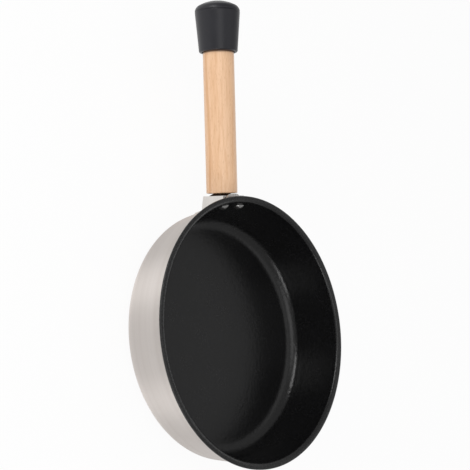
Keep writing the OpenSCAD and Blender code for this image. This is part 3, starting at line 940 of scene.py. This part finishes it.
rubber = moulded("black_rubber", (22, 22, 28), (29, 29, 35), gloss=(0.34, 0.42),
                 pit_scale=1500.0, depth=0.00005)
dress(rubber, cap)
spacer_plastic = moulded("black_spacer", (44, 29, 20), (54, 38, 28), gloss=(0.42, 0.5),
                         pit_scale=1300.0, depth=0.00003)
dress(spacer_plastic, spacer_ring)

# %% [markdown]
# ## The aluminium core
# The core, nut, bolt and washers keep their CAD shape, and show when a user takes the pan apart. The
# core is cut from rolled sheet, whose streaks all run one way, so it takes the steel's recipe in a
# space drawn out along x.

# %% Aluminium core
ROLLED_OUT = (0.03, 1, 1)


def rolled(tree):
    """Space drawn out along x, the way that the sheet went through the rolls."""
    return put(tree, "VectorMath", {0: on_object(tree), 1: ROLLED_OUT}, operation="MULTIPLY").outputs[0]


core_metal = satin_steel("core_aluminium", (196, 199, 204), (176, 179, 184), rolled,
                         gloss=(0.34, 0.48), lines=1400.0)
dress(core_metal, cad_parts["heat_core"])

# %% [markdown]
# ## Zinc plate
# Zinc plate sets in small dull and bright crystals. One tone would look like paint, so a cell pattern
# gives each its own tone and gloss. Its cells are about a millimetre across, to show on a washer.

# %% Zinc on the nut, bolt and washers
CRYSTALS, DULL = 900.0, 160.0
zinc, tree, shader = new_finish("zinc_steel", Metallic=1.0, Roughness=0.4)
where = on_object(tree)
crystals = put(tree, "TexVoronoi", {"Vector": where, "Scale": CRYSTALS}, distance="MINKOWSKI")
tone = put(tree, "SeparateColor", {"Color": crystals.outputs["Color"]}).outputs["Red"]
dull = grain(tree, where, DULL, 3.0)
plated = tint(tree, tone, (172, 174, 178), (196, 198, 203))
feed(shader, "Base Color", tint(tree, spread(tree, dull, 0.0, 0.5), plated, (150, 150, 150)))
feed(shader, "Roughness", spread(tree, tone, 0.30, 0.46, 0.0, 1.0))
relief(shader, dull, 0.3, 0.00004)
hardware = ("weld_nut", "tie_bolt", "flat_washer", "spring_washer")
dress(zinc, *[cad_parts[name] for name in hardware])

# %% [markdown]
# ## White for the eye, floor for the light
# The pan stands on a plain white floor. More lamps could make it white, but would bleach the pan. So to
# the camera and in reflections most of its white is its own light, and the rest is lit as any floor is,
# which keeps the pan's shadow.

# %% Finish of the floor
FLOOR_OWN_LIGHT, WHITE = 0.92, (1, 1, 1, 1)


def seen_by_eye(tree):
    """1 for a ray from the camera, off gloss or through glass, and 0 for one of soft light."""
    path = put(tree, "LightPath", {}).outputs
    either = reckon(tree, "MAXIMUM", path["Is Camera Ray"], path["Is Glossy Ray"])
    return reckon(tree, "MAXIMUM", either, path["Is Transmission Ray"])


white, tree, shader = new_finish("floor_white", Roughness=0.9)
paper = grain(tree, on_object(tree), 30.0, 2.0)
feed(shader, "Base Color", tint(tree, paper, (240, 240, 240), (244, 244, 244)))
glow = put(tree, "Emission", {"Color": WHITE, "Strength": 1.0}).outputs[0]
share = reckon(tree, "MULTIPLY", seen_by_eye(tree), FLOOR_OWN_LIGHT)
both = put(tree, "MixShader", {0: share, 1: shader.outputs[0], 2: glow})
feed(tree.nodes["Material Output"], "Surface", both.outputs[0])
print("share of the floor's own light:", FLOOR_OWN_LIGHT)

# %% [markdown]
# ## The floor itself
# A flat sheet does, far wider than the picture, so that no edge shows. It lies a fifth of a millimetre
# under the pan, because two faces in one plane flicker.

# %% Floor
FLOOR_HALF, FLOOR_DROP = 6.0, 0.0002
bm = bmesh.new()
bmesh.ops.create_grid(bm, x_segments=4, y_segments=4, size=FLOOR_HALF)
floor_mesh = bpy.data.meshes.new("floor")
bm.to_mesh(floor_mesh)
bm.free()
floor = add_object("floor", floor_mesh)
floor.location.z = -FLOOR_DROP
dress(white, floor)

# %% [markdown]
# ## The room
# Steel shows whatever stands round it. A picture of a studio could be that, but a few numbers do: white
# up to the horizon, then a soft step of seven degrees to a grey ceiling, which keeps the coating black.
# Soft light comes evenly from all round, and the camera sees white paper.

# %% Room
ROOM_FILL, CEILING_SEEN, BACKDROP_TOP, CEILING_FROM = 0.56, 0.47, 0.0, 7.0
room = bpy.data.worlds.new("studio")
bpy.context.scene.world = room
room.use_nodes = True
tree = room.node_tree
fill = tree.nodes["Background"]
fill.inputs["Color"].default_value, fill.inputs["Strength"].default_value = WHITE, ROOM_FILL
height = part(tree, put(tree, "TexCoord", {}).outputs["Generated"], "Z")
backdrop = spread(tree, height, 1.0, CEILING_SEEN, math.sin(math.radians(BACKDROP_TOP)),
                  math.sin(math.radians(CEILING_FROM)))
to_camera = put(tree, "LightPath", {}).outputs["Is Camera Ray"]
bright = reckon(tree, "MAXIMUM", backdrop, to_camera)
seen = put(tree, "Background", {"Color": WHITE, "Strength": bright}).outputs[0]
chosen = put(tree, "MixShader", {0: seen_by_eye(tree), 1: fill.outputs[0], 2: seen})
feed(tree.nodes["World Output"], "Surface", chosen.outputs[0])
print("ceiling seen at", CEILING_SEEN, "of white, the room fills in with", ROOM_FILL)

# %% [markdown]
# ## The lamps
# One wide softbox hangs above the camera. Two low ones stand like windows beside the handle and the
# pan: brushed steel draws them out into pale bands, and the coating shows two bright patches on its
# bend. A weak one behind gives the lip its line, and another above lights the handle's other side.
# Small lamps would be simpler, but would leave hard streaks on the steel.

# %% Lamps
def softbox(name, place, target, wide, tall, brightness):
    """A rectangular lamp. Its brightness is what a mirror would show, where 1 is white."""
    lamp_data = bpy.data.lights.new(name, "AREA")
    lamp_data.shape, lamp_data.size, lamp_data.size_y = "RECTANGLE", wide, tall
    lamp_data.energy = brightness * math.pi * wide * tall
    lamp = add_object(name, lamp_data)
    aim = (Vector(target) - Vector(place)).to_track_quat("-Z", "Y").to_matrix().to_4x4()
    lamp.matrix_world = Matrix.Translation(place) @ aim
    lamp.visible_camera = False
    print(name, "gives", round(lamp_data.energy, 2), "W")


def around(azimuth, elevation, distance=1.2):
    """A place in the studio as a photographer would say it, in degrees and metres."""
    turn, lift = math.radians(azimuth), math.radians(elevation)
    return (distance * math.cos(lift) * math.cos(turn), distance * math.cos(lift) * math.sin(turn),
            distance * math.sin(lift))


AT_PAN = (0, 0, 0.03)
softbox("overhead_softbox", (0.0, 0.78, 1.10), (0.0, 0.78, 0.0), 1.3, 0.8, 1.2)
softbox("lamp_by_handle", around(44, 21), AT_PAN, 0.60, 0.30, 5.6)
softbox("lamp_by_pan", around(132, 21), AT_PAN, 0.54, 0.30, 4.4)
softbox("lamp_behind", around(-97, 22), (0.1, 0, 0.03), 0.60, 0.34, 0.9)
softbox("ceiling_patch", (0.0, -0.30, 1.20), (0.0, -0.30, 0.0), 1.3, 0.9, 0.33)

# %% [markdown]
# ## Camera
# The photograph looks down at the pan from its side, with the handle at the top. The camera's place and
# turn were fitted to the outlines of rim, wall, grip and cap. Three angles could turn it, but a matrix
# of its axes leaves no doubt about their order.

# %% Camera
FOCAL_PX, PHOTO_PX, SENSOR = 954.0, 470.0, 36.0
CAMERA_AT = (0.0220, 0.6408, 0.6113)
right = Vector((-0.1423, -0.6617, 0.7362))
up = Vector((0.9869, -0.0381, 0.1566))
back = right.cross(up)
camera_data = bpy.data.cameras.new("photo_camera")
camera_data.sensor_width = SENSOR
camera_data.lens = SENSOR * FOCAL_PX / PHOTO_PX
camera_data.clip_start, camera_data.clip_end = 0.01, 30
camera = add_object("photo_camera", camera_data)
turned = Matrix((right, up, back)).transposed().to_4x4()
camera.matrix_world = Matrix.Translation(CAMERA_AT) @ turned
bpy.context.scene.camera = camera
print("lens", round(camera_data.lens, 1), "mm, looking along", [round(-x, 3) for x in back])

# %% [markdown]
# ## Finish
# Colours are shown as they are, with no film look, to be laid beside a photograph.

# %% Last lines
bpy.context.scene.view_settings.view_transform = "Standard"
